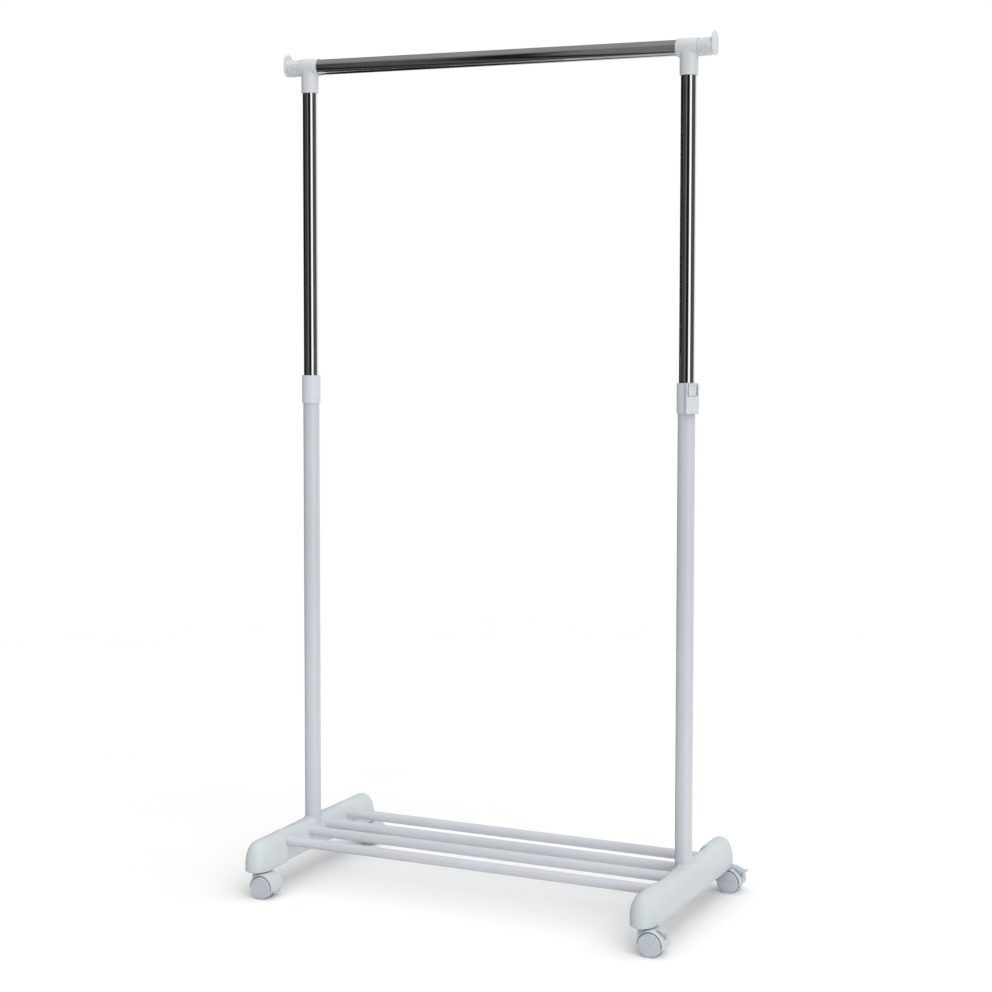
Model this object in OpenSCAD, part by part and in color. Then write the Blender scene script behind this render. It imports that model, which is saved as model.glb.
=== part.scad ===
// Rolling clothes rack with two telescopic uprights, a hanging rail and a tube shelf.
// X runs along the rail, -Y is the front, +Z is up. The origin is on the floor, in the middle.

/* [Frame] */
// Distance between the axes of the two uprights
upright_spacing = 742; // [560:1:1000]
// Height of the hanging rail's axis above the floor, as it is set
rail_height = 1501; // [1150:1:1580]
// Length of each lower tube
lower_tube_length = 870; // [720:1:1050]
// Outer diameter of the lower tubes
lower_tube_d = 30; // [28:0.5:36]
// Wall of the lower tubes
lower_tube_wall = 1; // [0.8:0.1:1.3]
// Length of each upper tube
upper_tube_length = 745; // [700:1:820]
// Gap between an upper tube and the lower tube around it
telescope_gap = 0.5; // [0.4:0.05:1]
// Wall of the upper tubes and of the rail
upper_tube_wall = 1; // [0.8:0.1:2]
// Outer diameter of the hanging rail
rail_d = 28; // [24:0.5:32]

/* [Feet] */
// Length of each foot, front to back
foot_length = 438; // [400:1:600]
// Height of each foot
foot_height = 54; // [50:0.5:70]
// Radius of the rounded ends of a foot, seen from above
foot_end_radius = 23.5; // [22:0.5:30]
// How far the waist of a foot reaches inwards from the upright's axis
foot_waist_reach = 16; // [15.5:0.5:20]
// How far the ends' centres lie outwards from the upright's axis
foot_end_offset = 1; // [0:0.5:3]
// Thickness of the moulded shell
foot_wall = 3; // [2:0.25:4]

/* [Shelf] */
// Outer diameter of the shelf tubes
shelf_tube_d = 18; // [14:0.5:20]
// Wall of the shelf tubes
shelf_tube_wall = 0.8; // [0.6:0.1:1.5]
// Distance of the two outer shelf tubes from the middle
shelf_outer_y = 111; // [90:0.5:130]
// Distance of the two inner shelf tubes from the middle
shelf_inner_y = 31; // [30:0.5:50]

/* [Collars and tees] */
// Wall of the collar sleeves
collar_wall = 2; // [1.6:0.1:3]
// Height of the collars
collar_height = 52; // [48:0.5:70]
// Height of a collar's lip above the lower tube
collar_lip = 13.5; // [8:0.5:16]
// Direction that the left lock faces, turned from +X
left_lock_turn = 120; // [0:15:345]
// Direction that the right lock faces, turned from +X
right_lock_turn = 315; // [0:15:345]
// Width of a lock's thumb tab
thumb_tab_width = 14.4; // [10:0.2:17]
// Wall of the tee sockets
tee_wall = 2; // [1.6:0.1:3]
// Length of a tee below the rail's axis
tee_drop = 46.5; // [35:0.5:60]
// Length of a tee inwards from the upright's axis
tee_inner = 20; // [18:0.5:30]
// Length of a tee outwards from the upright's axis
tee_outer = 18; // [17.5:0.5:28]
// Length of the ribbed part of an end stop
stop_length = 26.5; // [20:0.5:40]
// Thickness of an end stop's flange
stop_flange = 3; // [2:0.5:5]

/* [Casters] */
// Diameter of the wheels
wheel_d = 40; // [36:1:60]
// Width of each wheel
wheel_width = 17; // [12:0.5:20]
// Distance from the swivel axis to the axle
caster_trail = 19; // [18:0.5:24]
// Distance between the front and rear swivel axes
caster_span = 396; // [360:1:560]
// Diameter of the caster stems
stem_d = 8; // [6:0.5:9]
// Diameter of the axles
axle_d = 6; // [4:0.5:8]

/* [Hidden] */
$fn = 64;
BORE_CUT = 1;                 // how far a cut runs past the face that it opens
SLIP = 0.05;                  // radial clearance of a pushed-in or turning fit
PART_GAP = 0.35;              // clearance between pieces that pass each other

// Casters, measured from the swivel axis; the wheels trail towards +X
wheel_r = wheel_d / 2;
hood_gap = 1.2;
hood_wall = 1.8;
hood_r = wheel_r + hood_gap + hood_wall;
web_half = 5.5;
wheel_inner = web_half + 0.5;
wheel_face = wheel_inner + wheel_width;
hood_half = wheel_face - 3.5;
hood_cut_drop = 12;
swivel_gap = 2;
stem_boss_r = 8.5;
stem_boss_h = 4.5;
stem_foot_z = wheel_r + 8;
hood_tail = 0.55 * hood_r;
web_nose = stem_d / 2 + 2.5;
web_low = 6;
hood_top = wheel_r + hood_r;
swivel_cap_top = hood_top + 0.6;
axle_end = wheel_face - 2.5;
brake_pivot = [11, 12.5];
brake_pin_d = 2.5;
brake_leg_half = 2.4;
brake_tab_half = 8;
brake_reach = 31;
brake_boss_r = 2.9;
brake_root = 9;
brake_pocket_in = 5;
brake_gap = 1.4;
wheel_edge = 1.2;
groove_in = wheel_r * 0.62;
groove_out = wheel_r * 0.68;
groove_depth = 0.7;

// Feet
foot_bottom = hood_top + swivel_gap;
foot_top = foot_bottom + foot_height;
foot_x = upright_spacing / 2;
foot_end_y = foot_length / 2 - foot_end_radius;
foot_outer = foot_end_offset + foot_end_radius;
foot_inner = foot_end_radius - foot_end_offset;
foot_shoulder = 22;
foot_nose = 30;
socket_floor = 4;
socket_wall = 3.5;
step_gap = 1;
step_y = shelf_outer_y + shelf_tube_d / 2 + step_gap;
stem_y = caster_span / 2;
stem_engage = 36;
sleeve_d = stem_d + 3;
sleeve_flange_d = stem_d + 8;
sleeve_flange = 1.5;
boss_r = sleeve_d / 2 + 3;
rib_thick = 2.5;

// Shelf tubes
shelf_z = foot_bottom + 35;
shelf_reach = foot_waist_reach - 14.5;
shelf_half = foot_x - shelf_reach;
shelf_socket_wall = 2.5;
shelf_ys = [-shelf_outer_y, -shelf_inner_y, shelf_inner_y, shelf_outer_y];
screw_d = 3.8;
screw_head_d = 7;
screw_head_h = 2.2;
screw_length = 9;
screw_back = 6;

// Uprights
tube_bottom = foot_bottom + socket_floor;
tube_top = tube_bottom + lower_tube_length;
lower_bore = lower_tube_d - 2 * lower_tube_wall;
upper_tube_d = lower_bore - 2 * telescope_gap;
upper_bore = upper_tube_d - 2 * upper_tube_wall;
upper_top = rail_height - rail_d / 2 - 1.2;
upper_bottom = upper_top - upper_tube_length;
insert_length = 24;
bolt_d = 6;
bolt_head_d = 12;
bolt_head_h = 3;
bolt_key = 4.6;
bolt_key_depth = 2;
bush_length = 12;
bush_spigot = 15;
bush_wall = 2;
bush_clearance = 0.08;

// Collars; the lock housing points towards +X before it is turned to its direction
collar_d = lower_tube_d + 2 * (SLIP + collar_wall);
collar_r = collar_d / 2;
collar_top = tube_top + collar_lip;
collar_bottom = collar_top - collar_height;
collar_edge = 0.8;
housing_height = 30;
housing_round = 3;
housing_half = 11.75;
housing_side = 2.1;
pocket_floor = 3.5;
pocket_out = collar_r + 5.7;
housing_out = pocket_out + 1.5;
lever_pin_d = 2;
lever_pivot_x = collar_r + 3;
lever_pivot_z = collar_bottom + 18.5;
lever_half = housing_half - housing_side - PART_GAP;
lever_thick = 2.4;
lever_tab_thick = 3;
lever_tab_in = collar_r + 3.7;
lever_nose_z = collar_bottom + 5.5;
lever_neck_z = collar_bottom + 22.5;
lever_crook_z = collar_bottom + housing_height - 1;
lever_tab_z = collar_bottom + housing_height + 1.5;
lever_lip = 2;
lever_top = collar_top - 0.4;
lever_lip_h = 1.2;
lever_lip_slope = 2.4;
lever_tab_half = thumb_tab_width / 2;
lever_window_low = 6;
lever_window_h = 10;
pad_z = collar_bottom + 9.5;
pad_half_z = 4;
pad_half_y = 4;
pad_fit = 0.15;
pad_window_depth = 8;
lever_leg_in = collar_r + 1.8;
spring_half = 3;
spring_wire = 0.8;
spring_r = 1.9;
spring_leg_up = 8;
spring_leg_down = 4.5;

// Tees, rail and end stops
tee_r = rail_d / 2 + SLIP + tee_wall;
tee_socket_r = upper_tube_d / 2 + SLIP + tee_wall + 0.25;
rail_half = foot_x + tee_outer;
rail_bore = rail_d - 2 * upper_tube_wall;
stop_rib_r = rail_d / 2 + 1.4;
stop_core_r = rail_d / 2 + 0.4;
stop_ribs = 5;
stop_rib_pitch = 4.2;
stop_rib_width = 2.6;
stop_spigot = 18;
stop_flange_r = tee_r - 0.5;
stop_flange_rise = 10.5;

SIDES = ["left", "right"];
ENDS = ["front", "rear"];

// ---- placing helpers ----

// -1 on the left side, 1 on the right side
function side_sign(side) = side == "left" ? -1 : 1;

// -1 at the front, 1 at the rear
function end_sign(end) = end == "front" ? -1 : 1;

// Mirrors a right-hand foot, tee or stop to its side and puts it on the upright's axis
module at_side(side) {
    translate([side_sign(side) * foot_x, 0, 0])
        mirror([side == "left" ? 1 : 0, 0, 0])
            children();
}

// Puts a collar's piece on its upright and turns it to the direction of its lock
module at_collar(side) {
    translate([side_sign(side) * foot_x, 0, 0])
        rotate([0, 0, side == "left" ? left_lock_turn : right_lock_turn])
            children();
}

// Puts a caster's piece on its swivel axis
module at_caster(side, end) {
    translate([side_sign(side) * (foot_x + foot_end_offset), end_sign(end) * stem_y, 0])
        children();
}

// A cylinder along X from x0 to x1
module bar_x(d, x0, x1) {
    translate([x0, 0, 0])
        rotate([0, 90, 0])
            cylinder(d = d, h = x1 - x0);
}

// A cylinder along Y, centred
module bar_y(d, length) {
    rotate([90, 0, 0])
        cylinder(d = d, h = length, center = true);
}

// A tube along Z
module tube_z(d, wall, z0, z1) {
    difference() {
        translate([0, 0, z0])
            cylinder(d = d, h = z1 - z0);
        translate([0, 0, z0 - BORE_CUT])
            cylinder(d = d - 2 * wall, h = z1 - z0 + 2 * BORE_CUT);
    }
}

// A flat outline in X and Z, extruded along Y from y0 to y1
module slab_y(y0, y1) {
    translate([0, y1, 0])
        rotate([90, 0, 0])
            linear_extrude(height = y1 - y0)
                children();
}

// ---- feet ----

// Outline of a foot from above: straight outside, waisted inside
module foot_plan(inset) {
    for (s = [-1, 1]) {
        translate([foot_end_offset, s * foot_end_y])
            circle(r = foot_end_radius - inset);
        translate([-foot_inner + inset, s > 0 ? step_y + inset : -foot_end_y])
            square([foot_inner, foot_end_y - step_y - inset]);
    }
    translate([-foot_waist_reach + inset, -foot_end_y])
        square([foot_waist_reach + foot_outer - 2 * inset, 2 * foot_end_y]);
}

// Section of a foot across its length: upright sides and a rounded top
module foot_section(inset) {
    r = foot_shoulder - inset;
    shoulder_z = foot_top - foot_shoulder;
    for (x = [-foot_inner + foot_shoulder, foot_outer - foot_shoulder])
        translate([x, shoulder_z])
            circle(r = r);
    translate([-foot_inner + inset, foot_bottom - BORE_CUT])
        square([foot_inner + foot_outer - 2 * inset, shoulder_z - foot_bottom + BORE_CUT]);
    translate([-foot_inner + foot_shoulder, foot_bottom])
        square([foot_inner + foot_outer - 2 * foot_shoulder, foot_height - inset]);
}

// Side view of a foot: flat top and noses that round down
module foot_profile(inset) {
    nose_y = foot_length / 2 - foot_nose;
    nose_z = foot_top - foot_nose;
    for (s = [-1, 1])
        translate([s * nose_y, nose_z])
            circle(r = foot_nose - inset);
    translate([-foot_length / 2 + inset, foot_bottom - BORE_CUT])
        square([foot_length - 2 * inset, nose_z - foot_bottom + BORE_CUT]);
    translate([-nose_y, foot_bottom])
        square([2 * nose_y, foot_height - inset]);
}

// The solid that the plan, the section and the side view have in common
module foot_block(inset) {
    intersection() {
        translate([0, 0, foot_bottom - (inset > 0 ? BORE_CUT : 0)])
            linear_extrude(height = foot_height + BORE_CUT)
                foot_plan(inset);
        slab_y(-foot_length, foot_length)
            foot_section(inset);
        rotate([90, 0, 90])
            translate([0, 0, -2 * foot_outer])
                linear_extrude(height = 4 * foot_outer)
                    foot_profile(inset);
    }
}

// Bosses and ribs inside a foot
module foot_inside() {
    intersection() {
        foot_block(0);
        union() {
            translate([0, 0, foot_bottom])
                cylinder(d = lower_tube_d + 2 * (SLIP + socket_wall), h = foot_height);
            for (s = [-1, 1])
                translate([foot_end_offset, s * stem_y, foot_bottom])
                    cylinder(r = boss_r, h = foot_height);
            for (y = shelf_ys)
                translate([0, y, shelf_z])
                    bar_x(shelf_tube_d + 2 * (SLIP + shelf_socket_wall), -foot_inner, 1);
            translate([-rib_thick / 2 + foot_end_offset, -stem_y, foot_bottom])
                cube([rib_thick, 2 * stem_y, foot_height]);
        }
    }
}

module foot(side) {
    color("gainsboro")
        at_side(side)
            difference() {
                union() {
                    difference() {
                        foot_block(0);
                        foot_block(foot_wall);
                    }
                    foot_inside();
                }
                translate([0, 0, tube_bottom])
                    cylinder(d = lower_tube_d + 2 * SLIP, h = foot_height);
                translate([0, 0, foot_bottom - BORE_CUT])
                    cylinder(d = bolt_d + 2 * PART_GAP, h = foot_height);
                for (s = [-1, 1])
                    translate([foot_end_offset, s * stem_y, foot_bottom])
                        foot_stem_bore();
                for (y = shelf_ys)
                    translate([0, y, shelf_z]) {
                        bar_x(shelf_tube_d + 2 * SLIP, -2 * foot_inner, -shelf_reach + SLIP);
                        translate([-shelf_reach - screw_back, 0, -foot_height])
                            cylinder(d = screw_d + 0.4, h = foot_height);
                    }
            }
}

// The stepped bore for one stem sleeve
module foot_stem_bore() {
    translate([0, 0, -BORE_CUT])
        cylinder(d = sleeve_d + 2 * SLIP, h = stem_engage + 2 + BORE_CUT);
    translate([0, 0, -BORE_CUT])
        cylinder(d = sleeve_flange_d + 2 * SLIP, h = sleeve_flange + SLIP + BORE_CUT);
}

module stem_sleeve(side, end) {
    color("whitesmoke")
        at_caster(side, end)
            difference() {
                translate([0, 0, foot_bottom]) {
                    cylinder(d = sleeve_flange_d, h = sleeve_flange);
                    cylinder(d = sleeve_d, h = stem_engage + 1.5);
                }
                translate([0, 0, foot_bottom - BORE_CUT])
                    cylinder(d = stem_d + 2 * SLIP, h = stem_engage + 0.5 + BORE_CUT);
            }
}

// ---- fasteners of the base ----

module tube_inserts() {
    color("dimgray")
        for (side = SIDES)
            at_side(side)
                difference() {
                    translate([0, 0, tube_bottom])
                        cylinder(d = lower_bore - 2 * SLIP, h = insert_length);
                    translate([0, 0, tube_bottom - BORE_CUT])
                        cylinder(d = bolt_d + 2 * SLIP, h = insert_length + 2 * BORE_CUT);
                }
}

module upright_bolts() {
    color("silver")
        for (side = SIDES)
            at_side(side) {
                translate([0, 0, foot_bottom - bolt_head_h])
                    difference() {
                        cylinder(d = bolt_head_d, h = bolt_head_h);
                        translate([0, 0, -BORE_CUT])
                            cylinder(d = bolt_key, h = bolt_key_depth + BORE_CUT, $fn = 6);
                    }
                translate([0, 0, foot_bottom - bolt_head_h / 2])
                    cylinder(d = bolt_d, h = socket_floor + insert_length - 2);
            }
}

module shelf_screws() {
    screw_z = shelf_z - shelf_tube_d / 2 - SLIP - shelf_socket_wall;
    color("silver")
        for (side = SIDES)
            at_side(side)
                for (y = shelf_ys)
                    translate([-shelf_reach - screw_back, y, screw_z]) {
                        translate([0, 0, -screw_head_h])
                            cylinder(d = screw_head_d, h = screw_head_h);
                        translate([0, 0, -screw_head_h / 2])
                            cylinder(d = screw_d, h = screw_length);
                    }
}

// ---- tubes ----

module shelf_tube(index) {
    color("whitesmoke")
        translate([0, shelf_ys[index], shelf_z])
            difference() {
                bar_x(shelf_tube_d, -shelf_half, shelf_half);
                bar_x(shelf_tube_d - 2 * shelf_tube_wall, -shelf_half - BORE_CUT, shelf_half + BORE_CUT);
                for (s = [-1, 1])
                    translate([s * (shelf_half - screw_back), 0, -shelf_tube_d])
                        cylinder(d = screw_d + 0.2, h = shelf_tube_d);
            }
}

// The window for the clamp pad, through a collar's sleeve and its lower tube
module pad_window() {
    translate([lower_bore / 2 - 2, -pad_half_y - pad_fit, pad_z - pad_half_z - pad_fit])
        cube([pad_window_depth, 2 * (pad_half_y + pad_fit), 2 * (pad_half_z + pad_fit)]);
}

module lower_tube(side) {
    color("whitesmoke")
        difference() {
            at_collar(side)
                tube_z(lower_tube_d, lower_tube_wall, tube_bottom, tube_top);
            at_collar(side)
                pad_window();
        }
}

module upper_tube(side) {
    color("lightslategray")
        at_side(side)
            tube_z(upper_tube_d, upper_tube_wall, upper_bottom, upper_top);
}

// A flanged plug in the lower end of an upper tube, which guides it in the lower tube
module glide_bush(side) {
    color("ivory")
        at_side(side)
            translate([0, 0, upper_bottom])
                difference() {
                    union() {
                        translate([0, 0, -bush_length])
                            cylinder(d = lower_bore - 2 * bush_clearance, h = bush_length);
                        cylinder(d = upper_bore - 2 * SLIP, h = bush_spigot);
                    }
                    translate([0, 0, -bush_length - BORE_CUT])
                        cylinder(d = upper_bore - 2 * bush_wall, h = bush_length + bush_spigot + 2 * BORE_CUT);
                }
}

module hanging_rail() {
    color("lightslategray")
        translate([0, 0, rail_height])
            difference() {
                bar_x(rail_d, -rail_half, rail_half);
                bar_x(rail_bore, -rail_half - BORE_CUT, rail_half + BORE_CUT);
            }
}

// ---- collars and their locks ----

// The sleeve around the tube, with broken edges
module collar_sleeve() {
    rotate_extrude()
        polygon([
            [0, collar_bottom],
            [collar_r - collar_edge, collar_bottom],
            [collar_r, collar_bottom + collar_edge],
            [collar_r, collar_top - collar_edge],
            [collar_r - collar_edge, collar_top],
            [0, collar_top]
        ]);
}

// Side view of a lock housing, as high as the collar and rounded at its lower outer corner
module housing_outline() {
    translate([0, collar_bottom])
        square([housing_out - housing_round, collar_height]);
    translate([0, collar_bottom + housing_round])
        square([housing_out, collar_height - housing_round]);
    translate([housing_out - housing_round, collar_bottom + housing_round])
        circle(r = housing_round);
}

module collar(side) {
    color("gainsboro")
        at_collar(side)
            difference() {
                union() {
                    collar_sleeve();
                    slab_y(-housing_half, housing_half)
                        housing_outline();
                }
                translate([0, 0, collar_bottom - BORE_CUT])
                    cylinder(d = lower_tube_d + 2 * SLIP, h = tube_top - collar_bottom + BORE_CUT + SLIP);
                translate([0, 0, collar_bottom])
                    cylinder(d = upper_tube_d + 2 * bush_clearance, h = collar_height + BORE_CUT);
                difference() {
                    union() {
                        translate([0, -housing_half + housing_side, collar_bottom + pocket_floor])
                            cube([pocket_out, 2 * (housing_half - housing_side), collar_height]);
                        translate([0, -housing_half + housing_side, collar_bottom + housing_height])
                            cube([2 * housing_out, 2 * (housing_half - housing_side), collar_height]);
                    }
                    cylinder(r = collar_r, h = collar_top + 2 * BORE_CUT);
                }
                pad_window();
                translate([lever_pivot_x, 0, lever_pivot_z])
                    bar_y(lever_pin_d + 2 * SLIP, 3 * housing_half);
            }
}

// The shoe that the lever presses against the upper tube
module clamp_pad(side) {
    color("dimgray")
        at_collar(side)
            difference() {
                translate([0, -pad_half_y, pad_z - pad_half_z])
                    cube([lever_leg_in - PART_GAP, 2 * pad_half_y, 2 * pad_half_z]);
                cylinder(r = upper_tube_d / 2 + PART_GAP, h = collar_top);
            }
}

module lever_pin(side) {
    color("silver")
        at_collar(side)
            translate([lever_pivot_x, 0, lever_pivot_z])
                bar_y(lever_pin_d, 2 * housing_half - 0.6);
}

// A torsion spring wound on the lever's pin: close turns and two straight legs
module lock_spring(side) {
    turns = 7;
    pitch = 2 * spring_half / turns;
    in_r = spring_r - spring_wire / 2;
    out_r = spring_r + spring_wire / 2;
    color("silver")
        at_collar(side)
            translate([lever_pivot_x, 0, lever_pivot_z]) {
                rotate([90, 0, 0])
                    rotate_extrude()
                        polygon(concat(
                            [[in_r, -spring_half]],
                            [for (i = [0 : 2 * turns])
                                [out_r - (i % 2 == 0 ? spring_wire / 3 : 0), -spring_half + i * pitch / 2]],
                            [[in_r, spring_half]]
                        ));
                translate([-spring_r, spring_half - spring_wire / 2, 0])
                    cylinder(d = spring_wire, h = spring_leg_up);
                translate([-spring_r, -spring_half + spring_wire / 2, -spring_leg_down])
                    cylinder(d = spring_wire, h = spring_leg_down);
            }
}

// Side view of a lock lever's leg, which stands in the housing
module lever_leg_outline() {
    polygon([
        [lever_leg_in, lever_nose_z],
        [lever_leg_in + lever_thick, lever_nose_z],
        [lever_leg_in + lever_thick, lever_crook_z],
        [lever_tab_in + lever_tab_thick, lever_tab_z],
        [lever_tab_in, lever_tab_z],
        [lever_leg_in, lever_neck_z]
    ]);
}

// Side view of a lock lever's thumb tab, with a small lip at the top
module lever_tab_outline() {
    tab_out = lever_tab_in + lever_tab_thick;
    polygon([
        [lever_tab_in, lever_tab_z],
        [tab_out, lever_tab_z],
        [tab_out, lever_top - lever_lip_h - lever_lip_slope],
        [tab_out + lever_lip, lever_top - lever_lip_h],
        [tab_out + lever_lip, lever_top],
        [lever_tab_in, lever_top]
    ]);
}

module lock_lever(side) {
    window_half = spring_half + 0.5;
    color("gainsboro")
        at_collar(side)
            difference() {
                union() {
                    slab_y(-lever_half, lever_half)
                        lever_leg_outline();
                    slab_y(-lever_tab_half, lever_tab_half)
                        lever_tab_outline();
                    translate([lever_pivot_x, 0, lever_pivot_z])
                        bar_y(lever_pin_d + 2.4, 2 * lever_half);
                }
                translate([lever_pivot_x, 0, lever_pivot_z])
                    bar_y(lever_pin_d + 2 * SLIP, 3 * lever_half);
                translate([0, -window_half, lever_pivot_z - lever_window_low])
                    cube([2 * housing_out, 2 * window_half, lever_window_h]);
            }
}

// ---- tees and end stops ----

module tee(side) {
    color("whitesmoke")
        at_side(side)
            difference() {
                union() {
                    translate([0, 0, rail_height - tee_drop])
                        cylinder(r = tee_socket_r, h = tee_drop);
                    translate([0, 0, rail_height])
                        bar_x(2 * tee_r, -tee_inner, tee_outer);
                }
                translate([0, 0, rail_height - tee_drop - BORE_CUT])
                    cylinder(d = upper_tube_d + 2 * SLIP, h = upper_top + SLIP - rail_height + tee_drop + BORE_CUT);
                translate([0, 0, rail_height])
                    bar_x(rail_d + 2 * SLIP, -tee_inner - BORE_CUT, tee_outer + BORE_CUT);
            }
}

// The ribbed plug at one end of the rail, with an upstanding flange
module end_stop(side) {
    rib_start = tee_outer + 2;
    flange_x = tee_outer + stop_length;
    color("whitesmoke")
        at_side(side)
            translate([0, 0, rail_height]) {
                difference() {
                    union() {
                        bar_x(2 * stop_core_r, tee_outer + SLIP, flange_x + 1);
                        bar_x(rail_bore - 2 * SLIP, tee_outer - stop_spigot, tee_outer + 1);
                        for (i = [0 : stop_ribs - 1])
                            bar_x(2 * stop_rib_r, rib_start + i * stop_rib_pitch,
                                rib_start + i * stop_rib_pitch + stop_rib_width);
                    }
                    bar_x(rail_bore - 5, tee_outer - stop_spigot - BORE_CUT, flange_x);
                }
                translate([flange_x, 0, 0])
                    rotate([90, 0, 90])
                        linear_extrude(height = stop_flange) {
                            circle(r = stop_flange_r);
                            translate([0, stop_flange_rise])
                                circle(r = stop_flange_r);
                            translate([-stop_flange_r, 0])
                                square([2 * stop_flange_r, stop_flange_rise]);
                        }
            }
}

// ---- casters ----

module stem(side, end) {
    color("silver")
        at_caster(side, end)
            translate([0, 0, stem_foot_z])
                cylinder(d = stem_d, h = foot_bottom + stem_engage - stem_foot_z);
}

// Side view of a hood's shell: a ring over the top and down the trailing side
module hood_ring() {
    difference() {
        circle(r = hood_r);
        circle(r = hood_r - hood_wall);
        polygon([[0, 0], [-2 * hood_r, 0], [-2 * hood_r, -2 * hood_r], [2 * hood_r, -2 * hood_r],
            [2 * hood_r, -hood_tail]]);
    }
}

// Side view of the web between the two wheels
module hood_web() {
    difference() {
        union() {
            circle(r = hood_r - hood_wall / 2);
            translate([-caster_trail - web_nose, web_low])
                square([caster_trail, hood_top - wheel_r - web_low - hood_wall]);
        }
        translate([-2 * hood_r, -2 * hood_r])
            square([4 * hood_r, 2 * hood_r - hood_cut_drop]);
    }
}

module hood(side, end) {
    braked = side == "right";
    color("gainsboro")
        at_caster(side, end)
            difference() {
                union() {
                    translate([caster_trail, 0, wheel_r]) {
                        slab_y(-hood_half, hood_half)
                            hood_ring();
                        slab_y(-web_half, web_half)
                            hood_web();
                    }
                    translate([0, 0, swivel_cap_top - stem_boss_h])
                        cylinder(r = stem_boss_r, h = stem_boss_h);
                }
                translate([0, 0, stem_foot_z - SLIP])
                    cylinder(d = stem_d + 2 * SLIP, h = hood_r);
                translate([caster_trail, 0, wheel_r])
                    bar_y(axle_d + 2 * SLIP, 2 * wheel_face);
                if (braked)
                    translate([caster_trail, 0, wheel_r])
                        brake_pocket();
            }
}

// What a braked hood leaves free for its lever and pin
module brake_pocket() {
    half = brake_leg_half + PART_GAP;
    translate([brake_pivot[0] - brake_pocket_in, -half, brake_pivot[1] - brake_pocket_in])
        cube([2 * hood_r, 2 * half, 2 * hood_r]);
    translate([brake_pivot[0], 0, brake_pivot[1]])
        bar_y(brake_pin_d + 2 * SLIP, 4 * web_half);
}

module axle(side, end) {
    color("silver")
        at_caster(side, end)
            translate([caster_trail, 0, wheel_r])
                bar_y(axle_d, 2 * axle_end);
}

// One wheel, with a shallow ring groove in its face and a blind bore for the axle
module wheel(side, end, facing) {
    color("lightgray")
        at_caster(side, end)
            translate([caster_trail, 0, wheel_r])
                rotate([facing * 90, 0, 0])
                    rotate_extrude()
                        polygon([
                            [axle_d / 2 + SLIP, wheel_inner],
                            [wheel_r - wheel_edge, wheel_inner],
                            [wheel_r, wheel_inner + wheel_edge],
                            [wheel_r, wheel_face - 2 * wheel_edge],
                            [wheel_r - wheel_edge, wheel_face - wheel_edge / 2],
                            [groove_out, wheel_face - 0.2],
                            [groove_out - 0.4, wheel_face - groove_depth],
                            [groove_in, wheel_face - groove_depth],
                            [groove_in - 0.4, wheel_face],
                            [0, wheel_face],
                            [0, axle_end + PART_GAP],
                            [axle_d / 2 + SLIP, axle_end + PART_GAP]
                        ]);
}

// Side view of a brake lever's tab, from the axle
module brake_tab() {
    difference() {
        polygon([[brake_root, hood_r + 1.6], [16, hood_r - 0.4], [22, hood_r - 2.4],
            [brake_reach, hood_r - 3], [brake_reach, hood_r - 4.2], [25, hood_r - 6.2],
            [20, hood_r - 8.4], [brake_root, hood_r - 8]]);
        circle(r = hood_r + brake_gap);
    }
}

module brake_lever(end) {
    color("lightgray")
        at_caster("right", end)
            translate([caster_trail, 0, wheel_r])
                difference() {
                    union() {
                        slab_y(-brake_tab_half, brake_tab_half)
                            brake_tab();
                        slab_y(-brake_leg_half, brake_leg_half)
                            brake_leg();
                    }
                    translate([brake_pivot[0], 0, brake_pivot[1]])
                        bar_y(brake_pin_d + 2 * SLIP, 4 * brake_leg_half);
                }
}

// Side view of the leg that joins the tab to the pin
module brake_leg() {
    translate(brake_pivot)
        circle(r = brake_boss_r);
    polygon([brake_pivot + [-2.2, 1.5], brake_pivot + [2.2, -1.5], [21, hood_r - 6.5], [13.5, hood_r + 0.2]]);
}

module brake_pin(end) {
    color("silver")
        at_caster("right", end)
            translate([caster_trail + brake_pivot[0], 0, wheel_r + brake_pivot[1]])
                bar_y(brake_pin_d, 2 * web_half - 0.2);
}

// ---- the nodes ----

foot("left");  // foot_left
foot("right");  // foot_right
tube_inserts();
upright_bolts();
shelf_screws();
for (i = [0 : 3])
    shelf_tube(i);
for (side = SIDES) {
    lower_tube(side);
    collar(side);
    clamp_pad(side);
    lever_pin(side);
    lock_spring(side);
    lock_lever(side);
    upper_tube(side);
    glide_bush(side);
    tee(side);
    end_stop(side);
}
hanging_rail();
for (side = SIDES, end = ENDS) {
    stem_sleeve(side, end);
    stem(side, end);
    hood(side, end);
    axle(side, end);
    wheel(side, end, 1);
    wheel(side, end, -1);
}
for (end = ENDS) {
    brake_lever(end);
    brake_pin(end);
}
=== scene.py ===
"""The looks of a rolling clothes rack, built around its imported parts.

X runs along the hanging rail, -Y is the front and +Z is up. Lengths are in metres and the origin
is on the floor. Each sub-assembly is a class that reads its places from the frame, builds its
meshes and dresses them.
"""

import logging
import math
from dataclasses import dataclass, field
from enum import Enum

import bmesh
import bpy
from mathutils import Matrix, Vector


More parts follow.
